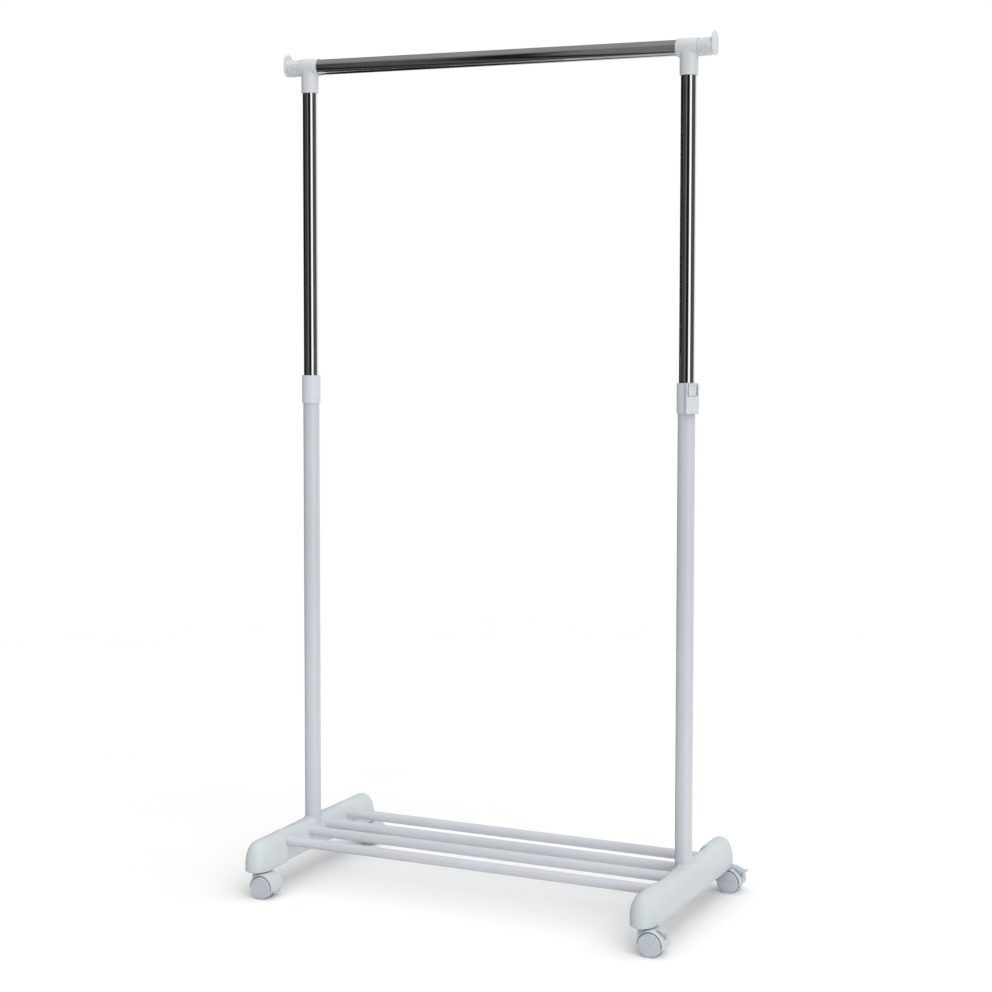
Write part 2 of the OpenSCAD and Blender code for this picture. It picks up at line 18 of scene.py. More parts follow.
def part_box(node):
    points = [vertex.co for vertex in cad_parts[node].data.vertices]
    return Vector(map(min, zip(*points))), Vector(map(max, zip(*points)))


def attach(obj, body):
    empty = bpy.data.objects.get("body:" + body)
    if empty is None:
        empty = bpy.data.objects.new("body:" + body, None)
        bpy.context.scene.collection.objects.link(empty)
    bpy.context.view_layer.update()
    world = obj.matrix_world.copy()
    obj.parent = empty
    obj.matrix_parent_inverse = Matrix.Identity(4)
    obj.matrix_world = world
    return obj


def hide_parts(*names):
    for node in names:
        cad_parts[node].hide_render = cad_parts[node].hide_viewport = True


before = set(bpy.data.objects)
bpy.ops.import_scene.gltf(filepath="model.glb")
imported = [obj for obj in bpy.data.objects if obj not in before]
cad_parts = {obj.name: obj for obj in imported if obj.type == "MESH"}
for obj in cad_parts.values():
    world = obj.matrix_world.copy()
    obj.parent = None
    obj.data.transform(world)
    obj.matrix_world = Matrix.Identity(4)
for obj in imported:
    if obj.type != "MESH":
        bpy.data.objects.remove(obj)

log = logging.getLogger("rack")

MM = 0.001
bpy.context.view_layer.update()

Colour = tuple[float, float, float, float]
Tint = Colour | bpy.types.NodeSocket
Span = tuple[float, float]
Profile = list[tuple[float, float]]


class Side(Enum):
    """The two sides of the rack."""

    LEFT = -1
    RIGHT = 1

    @property
    def word(self) -> str:
        """The side's name as the nodes spell it."""
        return self.name.lower()


class End(Enum):
    """The two ends of a foot."""

    FRONT = -1
    REAR = 1

    @property
    def word(self) -> str:
        """The end's name as the nodes spell it."""
        return self.name.lower()


class Slot(Enum):
    """The record's material slots."""

    FOOT = "foot_plastic"
    PAINT = "white_powder_coat"
    CHROME = "chrome_tube"
    FITTING = "fitting_plastic"
    COLLAR = "collar_plastic"
    CASTER = "caster_plastic"
    WHEEL = "wheel_plastic"
    PAD = "pad_rubber"
    BUSH = "bush_plastic"
    INSERT = "insert_plastic"
    ZINC = "zinc_steel"


# ---- shader maths ----


@dataclass(frozen=True)
class Signal:
    """A number that varies over a surface. Arithmetic on it adds Math nodes."""

    graph: "Graph"
    socket: bpy.types.NodeSocket

    def maths(self, operation: str, *terms: "Signal | float") -> "Signal":
        """Adds one Math node.

        Args:
            operation: The node's operation.
            *terms: Its values, in order.

        Returns:
            The node's result.
        """
        made = self.graph.node("ShaderNodeMath", {"operation": operation}, dict(enumerate(terms)))
        return Signal(self.graph, made.outputs[0])

    def __add__(self, other: "Signal | float") -> "Signal":
        """The sum."""
        return self.maths("ADD", self, other)

    __radd__ = __add__

    def __sub__(self, other: "Signal | float") -> "Signal":
        """The difference."""
        return self.maths("SUBTRACT", self, other)

    def __rsub__(self, other: float) -> "Signal":
        """The difference from a plain number."""
        return self.maths("SUBTRACT", other, self)

    def __mul__(self, other: "Signal | float") -> "Signal":
        """The product."""
        return self.maths("MULTIPLY", self, other)

    __rmul__ = __mul__

    def step(self, low: float, high: float) -> "Signal":
        """Rises smoothly from 0 to 1.

        Args:
            low: The value at which it leaves 0.
            high: The value at which it reaches 1.

        Returns:
            The smooth step.
        """
        made = self.graph.node(
            "ShaderNodeMapRange",
            {"interpolation_type": "SMOOTHSTEP"},
            {"Value": self, "From Min": low, "From Max": high},
        )
        return Signal(self.graph, made.outputs[0])


class Graph:
    """The node tree of one material, or of the world."""

    def __init__(self, tree: bpy.types.NodeTree) -> None:
        """Takes an empty or default tree over.

        Args:
            tree: The tree to fill.
        """
        self.tree = tree
        self.tree.nodes.clear()

    def node(self, kind: str, settings: dict | None = None, values: dict | None = None) -> bpy.types.Node:
        """Adds any node.

        Args:
            kind: The node's type.
            settings: Its own properties, set first.
            values: Its sockets' values or links, by name or number.

        Returns:
            The node.
        """
        made = self.tree.nodes.new(kind)
        for name, value in (settings or {}).items():
            setattr(made, name, value)
        for name, value in (values or {}).items():
            self.feed(made.inputs[name], value)
        return made

    def feed(self, socket: bpy.types.NodeSocket, value: object) -> None:
        """Links a socket, or sets its value.

        Args:
            socket: The input.
            value: A signal, another node's output, or a plain value.
        """
        if isinstance(value, Signal):
            value = value.socket
        if isinstance(value, bpy.types.NodeSocket):
            self.tree.links.new(value, socket)
        else:
            socket.default_value = value

    def signal(self, node: bpy.types.Node, output: int | str = 0) -> Signal:
        """Wraps one output of a node."""
        return Signal(self, node.outputs[output])

    def place(self, source: str, stretch: tuple[float, float, float]) -> bpy.types.NodeSocket:
        """The surface's own coordinates, stretched.

        Args:
            source: "Object" or "UV".
            stretch: The scale along each direction.

        Returns:
            The vector.
        """
        coordinates = self.node("ShaderNodeTexCoord").outputs[source]
        mapped = self.node("ShaderNodeMapping", None, {"Vector": coordinates, "Scale": stretch})
        return mapped.outputs[0]

    def noise(self, vector: bpy.types.NodeSocket, scale: float, detail: float = 2.0) -> Signal:
        """Cloudy noise from 0 to 1, around a half.

        Args:
            vector: Where it is read.
            scale: Clouds to the metre.
            detail: How many finer layers it has.

        Returns:
            The noise.
        """
        values = {"Vector": vector, "Scale": scale, "Detail": detail}
        return self.signal(self.node("ShaderNodeTexNoise", None, values))

    def cells(self, vector: bpy.types.NodeSocket, scale: float) -> Signal:
        """Rounded cells: the distance from the nearest of many scattered points."""
        values = {"Vector": vector, "Scale": scale}
        return self.signal(self.node("ShaderNodeTexVoronoi", {"feature": "SMOOTH_F1"}, values))

    def blend(self, factor: Signal, low: Tint, high: Tint) -> bpy.types.NodeSocket:
        """Mixes two colours.

        Args:
            factor: How much of the second.
            low: The first colour, plain or from another node.
            high: The second colour, likewise.

        Returns:
            The mixed colour.
        """
        made = self.node("ShaderNodeMix", {"data_type": "RGBA"}, {0: factor, 6: low, 7: high})
        return made.outputs[2]

    def bump(self, height: Signal, depth: float) -> bpy.types.NodeSocket:
        """A normal that follows a height.

        Args:
            height: The height, from 0 to 1.
            depth: What 1 stands for, in metres.

        Returns:
            The normal.
        """
        made = self.node("ShaderNodeBump", None, {"Strength": 1.0, "Distance": depth, "Height": height})
        return made.outputs[0]


def display(red: int, green: int, blue: int) -> Colour:
    """Turns display values from 0 to 255 into a linear colour.

    Args:
        red: The red value.
        green: The green value.
        blue: The blue value.

    Returns:
        The linear colour, opaque.
    """

    def linear(value: float) -> float:
        """One channel, from 0 to 1."""
        return value / 12.92 if value <= 0.04045 else ((value + 0.055) / 1.055) ** 2.4

    return (linear(red / 255), linear(green / 255), linear(blue / 255), 1.0)


def shade(colour: Colour, factor: float) -> Colour:
    """A colour made lighter or darker by a factor."""
    return (min(colour[0] * factor, 1), min(colour[1] * factor, 1), min(colour[2] * factor, 1), 1.0)


# ---- finishes ----


@dataclass(frozen=True)
class Plastic:
    """Injection-moulded plastic: a fine spark-eroded grain, faint flow clouds, scuffs and dust."""

    slot: Slot
    colour: Colour
    roughness: float = 0.42
    grain: float = 1400.0
    grain_depth: float = 0.03 * MM
    mottle: float = 0.04
    scuffs: float = 0.35
    coat: float = 0.0

    def dress(self) -> bpy.types.Material:
        """Builds the finish.

        Returns:
            The material.
        """
        material, graph = blank_material(self.slot.value)
        here = graph.place("Object", (1, 1, 1))
        clouds = graph.noise(here, 14, 3)
        grain = graph.noise(here, self.grain, 1)
        scratched = graph.noise(graph.place("Object", (60, 900, 240)), 1, 4).step(0.62, 0.74)
        rubbed = graph.noise(here, 9, 2).step(0.5, 0.7)
        scuff = scratched * rubbed * self.scuffs
        dark, light = shade(self.colour, 1 - self.mottle), shade(self.colour, 1 + self.mottle)
        tint = graph.blend(clouds.step(0.3, 0.7), dark, light)
        worn = graph.blend(scuff, tint, shade(self.colour, 1.2))
        shader = graph.node("ShaderNodeBsdfPrincipled", None, {
            "Base Color": worn,
            "Roughness": (clouds - 0.5) * 0.16 + grain * 0.06 + scuff * 0.3 + (self.roughness - 0.03),
            "Normal": graph.bump(grain + scuff * 0.6, self.grain_depth),
            "Coat Weight": self.coat,
            "Coat Roughness": 0.2,
            "IOR": 1.5,
        })
        graph.node("ShaderNodeOutputMaterial", None, {0: shader.outputs[0]})
        return material


@dataclass(frozen=True)
class PowderCoat:
    """Baked powder paint: a soft orange peel under a low gloss."""

    slot: Slot
    colour: Colour
    roughness: float = 0.36
    peel: float = 520.0
    peel_depth: float = 0.035 * MM

    def dress(self) -> bpy.types.Material:
        """Builds the finish.

        Returns:
            The material.
        """
        material, graph = blank_material(self.slot.value)
        here = graph.place("Object", (1, 1, 1))
        peel = graph.cells(here, self.peel)
        fine = graph.noise(here, 2600, 1)
        drift = graph.noise(graph.place("Object", (3, 3, 1.2)), 2, 2)
        chips = graph.noise(here, 70, 5).step(0.74, 0.76)
        tint = graph.blend(drift.step(0.3, 0.7), shade(self.colour, 0.965), shade(self.colour, 1.03))
        chipped = graph.blend(chips * 0.35, tint, shade(self.colour, 0.6))
        shader = graph.node("ShaderNodeBsdfPrincipled", None, {
            "Base Color": chipped,
            "Roughness": (drift - 0.5) * 0.12 + fine * 0.08 + (self.roughness - 0.04),
            "Normal": graph.bump(peel + fine * 0.25 - chips * 0.5, self.peel_depth),
            "Coat Weight": 0.4,
            "Coat Roughness": 0.25,
            "IOR": 1.5,
        })
        graph.node("ShaderNodeOutputMaterial", None, {0: shader.outputs[0]})
        return material


@dataclass(frozen=True)
class BrightMetal:
    """Plated metal: polishing lines that run along the piece, fine cloudiness and handling marks."""

    slot: Slot
    colour: Colour
    roughness: float
    lines: tuple[float, float, float]
    line_depth: float
    source: str = "UV"
    bloom: float = 0.05

    def dress(self) -> bpy.types.Material:
        """Builds the finish.

        Returns:
            The material.
        """
        material, graph = blank_material(self.slot.value)
        here = graph.place("Object", (1, 1, 1))
        lines = graph.noise(graph.place(self.source, self.lines), 1, 3)
        smears = graph.noise(here, 22, 4).step(0.52, 0.72)
        prints = graph.cells(here, 45).step(0.35, 0.6) * smears
        tint = graph.blend(smears * 0.6 + lines * 0.4, self.colour, shade(self.colour, 0.93))
        shader = graph.node("ShaderNodeBsdfPrincipled", None, {
            "Base Color": tint,
            "Metallic": 1.0,
            "Roughness": lines * 0.03 + smears * self.bloom + prints * 0.04 + self.roughness,
            "Normal": graph.bump(lines, self.line_depth),
        })
        graph.node("ShaderNodeOutputMaterial", None, {0: shader.outputs[0]})
        return material


@dataclass(frozen=True)
class Rubber:
    """Soft dark rubber with a matt, slightly dusty skin."""

    slot: Slot
    colour: Colour

    def dress(self) -> bpy.types.Material:
        """Builds the finish.

        Returns:
            The material.
        """
        material, graph = blank_material(self.slot.value)
        here = graph.place("Object", (1, 1, 1))
        grain = graph.noise(here, 1800, 3)
        dust = graph.noise(here, 160, 3).step(0.45, 0.75)
        shader = graph.node("ShaderNodeBsdfPrincipled", None, {
            "Base Color": graph.blend(dust, self.colour, shade(self.colour, 2.2)),
            "Roughness": dust * 0.15 + 0.7,
            "Normal": graph.bump(grain, 0.05 * MM),
        })
        graph.node("ShaderNodeOutputMaterial", None, {0: shader.outputs[0]})
        return material


def blank_material(name: str) -> tuple[bpy.types.Material, Graph]:
    """Makes a material with an empty node tree.

    Args:
        name: The material's name.

    Returns:
        The material and its graph.
    """
    material = bpy.data.materials.new(name)
    material.use_nodes = True
    return material, Graph(material.node_tree)


FINISHES = (
    Plastic(Slot.FOOT, display(201, 207, 210), roughness=0.4, mottle=0.03),
    Plastic(Slot.FITTING, display(222, 225, 228), roughness=0.34, mottle=0.02, coat=0.1),
    Plastic(Slot.COLLAR, display(214, 218, 224), roughness=0.36, mottle=0.025, coat=0.1),
    Plastic(Slot.CASTER, display(200, 205, 208), roughness=0.44, scuffs=0.6),
    Plastic(Slot.WHEEL, display(188, 194, 202), roughness=0.48, scuffs=0.9, mottle=0.06),
    Plastic(Slot.BUSH, display(235, 233, 222), roughness=0.4, scuffs=0.2),
    Plastic(Slot.INSERT, display(96, 100, 104), roughness=0.5, scuffs=0.2),
    PowderCoat(Slot.PAINT, display(203, 207, 213)),
    BrightMetal(Slot.CHROME, (0.78, 0.78, 0.79, 1), 0.04, (900, 2, 1), 0.0001 * MM),
    BrightMetal(Slot.ZINC, (0.62, 0.63, 0.66, 1), 0.24, (900, 900, 60), 0.01 * MM, "Object", 0.14),
    Rubber(Slot.PAD, display(52, 54, 57)),
)


# ---- mesh tools ----


def rounded(corners: list[tuple[float, float, float]], steps: int = 5) -> Profile:
    """Rounds the corners of a closed outline.

    Args:
        corners: Each corner's two coordinates and its radius.
        steps: Straight pieces to a rounded corner.

    Returns:
        The outline's points, in order.
    """
    points: Profile = []
    count = len(corners)
    for index, (x, y, radius) in enumerate(corners):
        here = Vector((x, y))
        before = Vector(corners[index - 1][:2]) - here
        after = Vector(corners[(index + 1) % count][:2]) - here
        turn = before.angle(after)
        if radius <= 0 or abs(math.pi - turn) < 0.01:
            points.append((x, y))
            continue
        reach = min(radius / math.tan(turn / 2), before.length * 0.49, after.length * 0.49)
        radius = reach * math.tan(turn / 2)
        start, end = here + before.normalized() * reach, here + after.normalized() * reach
        half_way = (before.normalized() + after.normalized()).normalized()
        centre = here + half_way * (radius / math.sin(turn / 2))
        first, last = start - centre, end - centre
        swing = first.angle_signed(last)
        for step in range(steps + 1):
            arm = first.copy()
            arm.rotate(Matrix.Rotation(-swing * step / steps, 2))
            points.append(tuple(centre + arm))
    return points


def lathe(profile: Profile, place: Matrix, segments: int = 96) -> bmesh.types.BMesh:
    """Turns a closed outline about an axis.

    Args:
        profile: Points of (radius, height) in order.
        place: Takes the lathe's own Z axis to the piece's axis.
        segments: Faces round the axis.

    Returns:
        The solid, with a UV map in metres round and along the piece.
    """
    mesh = bmesh.new()
    sheet = mesh.loops.layers.uv.new("surface")
    widest = max(radius for radius, _ in profile)
    turn = 2 * math.pi / segments
    rings = []
    for s in range(segments):
        across, up = math.cos(turn * s), math.sin(turn * s)
        rings.append([mesh.verts.new(place @ Vector((r * across, r * up, h))) for r, h in profile])
    lengths = [0.0]
    for index, (radius, height) in enumerate(profile):
        ahead = profile[(index + 1) % len(profile)]
        lengths.append(lengths[-1] + math.hypot(ahead[0] - radius, ahead[1] - height))
    for s in range(segments):
        here, there = rings[s], rings[(s + 1) % segments]
        for p in range(len(profile)):
            q = (p + 1) % len(profile)
            face = mesh.faces.new((here[p], there[p], there[q], here[q]))
            rounds = (s, s + 1, s + 1, s)
            alongs = (p, p, p + 1, p + 1)
            for loop, u, v in zip(face.loops, rounds, alongs):
                loop[sheet].uv = (u * turn * widest, lengths[v])
    return tidy(mesh)


def tidy(mesh: bmesh.types.BMesh) -> bmesh.types.BMesh:
    """Merges doubles, drops empty faces and points every face outwards.

    Args:
        mesh: The mesh, which is changed.

    Returns:
        The same mesh.
    """
    bmesh.ops.remove_doubles(mesh, verts=mesh.verts, dist=1e-6)
    bmesh.ops.dissolve_degenerate(mesh, edges=mesh.edges, dist=1e-7)
    bmesh.ops.recalc_face_normals(mesh, faces=mesh.faces)
    return mesh


def along(axis: str, centre: Vector, sign: int = 1) -> Matrix:
    """Where a turned piece stands.

    Args:
        axis: "X", "Y" or "Z", the direction of the piece's axis.
        centre: A point on the axis.
        sign: 1, or -1 to turn the piece end for end.

    Returns:
        The matrix that takes Z to that axis.
    """
    quarter = math.pi / 2 * sign
    turns = {
        "X": Matrix.Rotation(quarter, 4, "Y"),
        "Y": Matrix.Rotation(-quarter, 4, "X"),
        "Z": Matrix.Rotation(0 if sign > 0 else math.pi, 4, "X"),
    }
    return Matrix.Translation(centre) @ turns[axis]


def plain_mesh(shape: bpy.types.Object) -> bpy.types.Mesh:
    """Applies an object's modifiers and removes it.

    Args:
        shape: A scratch object.

    Returns:
        The evaluated mesh.
    """
    bpy.context.view_layer.update()
    evaluated = shape.evaluated_get(bpy.context.evaluated_depsgraph_get())
    made = bpy.data.meshes.new_from_object(evaluated)
    bpy.data.objects.remove(shape)
    return made


def scratch(mesh: bmesh.types.BMesh | bpy.types.Mesh, name: str = "scratch") -> bpy.types.Object:
    """Makes a scratch object in the scene.

    Args:
        mesh: Its mesh, which is used up if it is a BMesh.
        name: Its name.

    Returns:
        The object.
    """
    if isinstance(mesh, bmesh.types.BMesh):
        data = bpy.data.meshes.new(name)
        mesh.to_mesh(data)
        mesh.free()
    else:
        data = mesh
    shape = bpy.data.objects.new(name, data)
    bpy.context.scene.collection.objects.link(shape)
    return shape


def combined(base: bmesh.types.BMesh, changes: list[tuple[str, bmesh.types.BMesh]]) -> bpy.types.Mesh:
    """Joins solids to a base solid and cuts others from it.

    Args:
        base: The first solid.
        changes: Pairs of "UNION" or "DIFFERENCE" and a solid, in order.

    Returns:
        The resulting mesh.
    """
    shape = scratch(base)
    others = []
    for operation, solid in changes:
        other = scratch(solid)
        others.append(other)
        modifier = shape.modifiers.new(operation.lower(), "BOOLEAN")
        modifier.operation = operation
        modifier.solver = "EXACT"
        modifier.object = other
    made = plain_mesh(shape)
    for other in others:
        bpy.data.objects.remove(other)
    return made


def softened(
    node: str, width: float, steps: int = 2, sharp: float = 32.0, cutters: tuple[bmesh.types.BMesh, ...] = ()
) -> bpy.types.Mesh:
    """Copies a CAD node's mesh and breaks its edges.

    Args:
        node: The CAD node.
        width: Width of the broken edges.
        steps: Faces across a broken edge.
        sharp: The least angle of an edge that is broken, in degrees.
        cutters: Solids that are cut from the copy first.

    Returns:
        The new mesh.
    """
    mesh = bmesh.new()
    mesh.from_mesh(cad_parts[node].data)
    bmesh.ops.remove_doubles(mesh, verts=mesh.verts, dist=2e-6)
    bmesh.ops.dissolve_degenerate(mesh, edges=mesh.edges, dist=1e-6)
    bmesh.ops.dissolve_limit(
        mesh, angle_limit=math.radians(0.6), verts=mesh.verts, edges=mesh.edges, use_dissolve_boundaries=False
    )
    shape = scratch(combined(mesh, [("DIFFERENCE", cutter) for cutter in cutters]) if cutters else mesh)
    bevel = shape.modifiers.new("edges", "BEVEL")
    bevel.limit_method = "ANGLE"
    bevel.angle_limit = math.radians(sharp)
    bevel.width = width
    bevel.segments = steps
    bevel.use_clamp_overlap = True
    bevel.miter_outer = "MITER_ARC"
    return plain_mesh(shape)


@dataclass
class Wardrobe:
    """The finishes by slot, and the one way in which a mesh becomes a piece of the rack."""

    materials: dict[Slot, bpy.types.Material] = field(default_factory=dict)

    def __post_init__(self) -> None:
        """Builds every finish once."""
        for finish in FINISHES:
            self.materials[finish.slot] = finish.dress()

    def hang(
        self,
        name: str,
        mesh: bmesh.types.BMesh | bpy.types.Mesh,
        body: str,
        slot: Slot,
        replaces: tuple[str, ...] = (),
        smooth: float = 32.0,
    ) -> bpy.types.Object:
        """Makes a piece of the rack.

        Args:
            name: The piece's name.
            mesh: Its finished mesh, in place.
            body: The body that it rides on.
            slot: Its finish.
            replaces: The CAD nodes that it stands for.
            smooth: Edges sharper than this many degrees stay sharp.

        Returns:
            The piece.
        """
        piece = scratch(mesh, name)
        piece.data.materials.clear()
        piece.data.materials.append(self.materials[slot])
        piece.data.shade_smooth()
        piece.data.set_sharp_from_angle(angle=math.radians(smooth))
        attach(piece, body)
        if replaces:
            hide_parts(*replaces)
        log.info("%s: %d faces on %s", name, len(piece.data.polygons), body)
        return piece

    def dress_node(self, node: str, slot: Slot) -> None:
        """Gives a carried-over CAD node its finish.

        Args:
            node: The CAD node.
            slot: Its finish.
        """
        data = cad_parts[node].data
        data.materials.clear()
        data.materials.append(self.materials[slot])
        log.info("%s: dressed in %s", node, slot.value)


def middle(node: str) -> Vector:
    """The centre of a CAD node's box."""
    low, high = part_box(node)
    return (low + high) / 2


def smooth_step(value: float, low: float, high: float) -> float:
    """Rises smoothly from 0 at low to 1 at high."""
    share = min(max((value - low) / (high - low), 0.0), 1.0)
    return share * share * (3 - 2 * share)


# ---- feet ----


@dataclass
class Foot:
    """One moulded foot: a waisted dome, hollow underneath, with bosses and ribs inside."""

    side: Side
    wall: float = 3 * MM
    skirt: float = 12 * MM
    nose: float = 30 * MM
    lobe_inner: float = 22.5 * MM
    waist_inner: float = 16 * MM
    outer: float = 24.5 * MM
    step_start: float = 120.6 * MM
    step_end: float = 130 * MM
    waist_dip: float = 2 * MM
    fillet_rise: float = 4 * MM
    fillet_reach: float = 7 * MM
    boss_wall: float = 3.5 * MM
    stem_wall: float = 0.5 * MM
    rib_half: float = 1.2 * MM
    rib_places: tuple[float, ...] = (50 * MM, 85 * MM, 135 * MM, 165 * MM)
    cross_half: float = 1 * MM
    cross_reach: float = 50 * MM
    socket_gap: float = 0.03 * MM
    bolt_r: float = 3.4 * MM
    flange_lip: float = 2.4 * MM
    sleeve_gap: float = 0.5 * MM
    recess_gap: float = 0.1 * MM
    recess_depth: float = 1.55 * MM
    rim: float = 1.2 * MM
    dip_span: Span = (60 * MM, 150 * MM)
    full_span: Span = (25 * MM, 110 * MM)
    end_power: float = 2.15
    waist_power: float = 1.1
    fillet_span: Span = (30 * MM, 8 * MM)
    side_steps: int = 150
    nose_steps: int = 30
    levels: int = 26

    def __post_init__(self) -> None:
        """Reads the foot's place from the frame."""
        low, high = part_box(f"foot_{self.side.word}")
        tube_low, tube_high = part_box(f"lower_tube_{self.side.word}")
        self.bottom, self.top = low.z, high.z
        self.end = high.y
        self.axis = (tube_low.x + tube_high.x) / 2
        self.tube_r = (tube_high.y - tube_low.y) / 2
        self.socket_floor = tube_low.z

    def point(self, out: float, y: float, z: float) -> Vector:
        """A point of the foot, measured outwards from the upright's axis."""
        return Vector((self.axis + self.side.value * out, y, z))

    def inner(self, y: float) -> float:
        """How far the foot reaches inwards at a place along it."""
        lobe = smooth_step(abs(y), self.step_start, self.step_end)
        return self.waist_inner + (self.lobe_inner - self.waist_inner) * lobe

    def crest(self, y: float) -> float:
        """Height of the foot's ridge at a place along it."""
        return self.top - self.waist_dip * (1 - smooth_step(abs(y), *self.dip_span))

    def fullness(self, y: float) -> float:
        """Exponent of the section: fuller at the waist, rounder at the ends."""
        return self.end_power + self.waist_power * (1 - smooth_step(abs(y), *self.full_span))

    def stations(self) -> list[tuple[Vector, Vector]]:
        """The foot's outline and, for each point, the ridge point above it.

        Returns:
            Pairs of (out, y) vectors, once round the foot.
        """
        ridge_end = self.end - self.nose
        count, fan = self.side_steps, self.nose_steps
        ys = [ridge_end * (2 * i / count - 1) for i in range(count + 1)]
        pairs = []
        for y in ys:
            pairs.append((Vector((self.outer, y)), self._ridge(y)))
        for i in range(1, fan):
            pairs.append(self._nose(i / fan, ridge_end))
        for y in reversed(ys):
            pairs.append((Vector((-self.inner(y), y)), self._ridge(y)))
        for i in range(fan - 1, 0, -1):
            rim, ridge = self._nose(i / fan, ridge_end)
            pairs.append((Vector((rim.x, -rim.y)), Vector((ridge.x, -ridge.y))))
        return pairs

    def _ridge(self, y: float) -> Vector:
        """The ridge point at a place along the foot."""
        return Vector(((self.outer - self.inner(y)) / 2, y))

    def _nose(self, share: float, ridge_end: float) -> tuple[Vector, Vector]:
        """One point of the rounded nose at the rear, from the outer side to the inner.

        Args:
            share: How far round, from 0 to 1.
            ridge_end: Where the ridge ends.

        Returns:
            The outline's point and its ridge point.
        """
        angle = math.pi * share
        ridge = self._ridge(ridge_end)
        half = (self.outer + self.lobe_inner) / 2
        return Vector((ridge.x + half * math.cos(angle), ridge_end + self.nose * math.sin(angle))), ridge

    def dome(self, inset: float) -> bmesh.types.BMesh:
        """The foot's outer solid, or the smaller one that hollows it.

        Args:
            inset: How far inside the outer surface.

        Returns:
            A closed solid.
        """
        mesh = bmesh.new()
        rim = self.rim if inset == 0 else 0.0
        base = self.bottom if inset == 0 else self.bottom - 1 * MM
        rings = []
        for outline, ridge in self.stations():
            reach = (outline - ridge).length
            towards = (ridge - outline) / reach
            start = outline + towards * inset
            ring = [mesh.verts.new(self.point(*(start + towards * rim), base))]
            if inset == 0:
                ring.append(mesh.verts.new(self.point(*(start + towards * rim * 0.3), base + rim * 0.3)))
            ring.append(mesh.verts.new(self.point(*start, self.bottom + rim)))
            crest = self.crest(ridge.y) - inset
            power = self.fullness(ridge.y)
            for level in range(self.levels + 1):
                angle = math.pi / 2 * level / self.levels
                share = 1 - max(math.cos(angle), 0.0) ** (2 / power)
                rise = math.sin(angle) ** (2 / power)
                spot = start.lerp(ridge, share)
                height = self.bottom + self.skirt + (crest - self.bottom - self.skirt) * rise
                if inset == 0:
                    height += self._fillet(spot, height)
                ring.append(mesh.verts.new(self.point(*spot, height)))
            rings.append(ring)
        for here, there in zip(rings, rings[1:] + rings[:1]):
            for low in range(len(here) - 1):
                mesh.faces.new((here[low], there[low], there[low + 1], here[low + 1]))
        mesh.faces.new([ring[0] for ring in reversed(rings)])
        return tidy(mesh)

    def _fillet(self, spot: Vector, height: float) -> float:
        """The soft rise of the dome towards the upright.

        Args:
            spot: The point's (out, y) place.
            height: Its height without the rise.

        Returns:
            The extra height.
        """
        gap = spot.length - self.tube_r
        near = 1 - smooth_step(gap, -1 * MM, self.fillet_reach)
        low, high = self.fillet_span
        return self.fillet_rise * near * near * smooth_step(height, self.top - low, self.top - high)

    def block(self, out: Span, y: Span, z: Span) -> bmesh.types.BMesh:
        """A plain block inside the foot, for a rib.

        Args:
            out: From and to, outwards.
            y: From and to, along the foot.
            z: From and to, upwards.

        Returns:
            The block.
        """
        mesh = bmesh.new()
        bmesh.ops.create_cube(mesh, size=1)
        for vertex in mesh.verts:
            vertex.co = self.point(
                out[0] if vertex.co.x < 0 else out[1],
                y[0] if vertex.co.y < 0 else y[1],
                z[0] if vertex.co.z < 0 else z[1],
            )
        bmesh.ops.recalc_face_normals(mesh, faces=mesh.faces)
        return mesh

    def post(self, out: float, y: float, radius: float, low: float, high: float) -> bmesh.types.BMesh:
        """A round post or hole along Z."""
        outline = [(0, low), (radius, low), (radius, high), (0, high)]
        return lathe(outline, along("Z", self.point(out, y, 0)), 64)

    def shell(self) -> bpy.types.Mesh:
        """The whole moulding: the dome, hollowed around its bosses and ribs, then bored.

        Returns:
            The mesh.
        """
        low, high = self.bottom - 2 * MM, self.top + 10 * MM
        stems = [middle(f"stem_{end.word}_{self.side.word}") for end in End]
        offset = abs(stems[0].x) - abs(self.axis)
        sleeve_low, sleeve_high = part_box(f"stem_sleeve_front_{self.side.word}")
        flange_r = (sleeve_high.x - sleeve_low.x) / 2
        kept = [self.post(0, 0, self.tube_r + self.boss_wall, low, high)]
        for stem in stems:
            kept.append(self.post(offset, stem.y, flange_r + self.stem_wall, low, high))
        half = self.rib_half
        kept.append(self.block((-half, half), (-self.end, self.end), (low + half, high)))
        for sign in (-1, 1):
            for place in self.rib_places:
                span = (sign * place - self.cross_half, sign * place + self.cross_half)
                kept.append(self.block((-self.cross_reach, self.cross_reach), span, (low + 4 * half, high)))
        room = bmesh.new()
        room.from_mesh(combined(self.dome(self.wall), [("DIFFERENCE", solid) for solid in kept]))
        socket = self.post(0, 0, self.tube_r + self.socket_gap, self.socket_floor, high)
        cuts = [room, socket, self.post(0, 0, self.bolt_r, low, high)]
        seat, recess = sleeve_high.z + self.sleeve_gap, self.bottom + self.recess_depth
        for stem in stems:
            cuts.append(self.post(offset, stem.y, flange_r - self.flange_lip, low, seat))
            cuts.append(self.post(offset, stem.y, flange_r + self.recess_gap, low, recess))
        return combined(self.dome(0), [("DIFFERENCE", solid) for solid in cuts])

    def build(self, wardrobe: Wardrobe) -> None:
        """Builds and dresses the foot."""
        name = f"foot_{self.side.word}"
        wardrobe.hang(f"{name}_moulding", self.shell(), "base", Slot.FOOT, (name,), smooth=38)


# ---- tubes ----


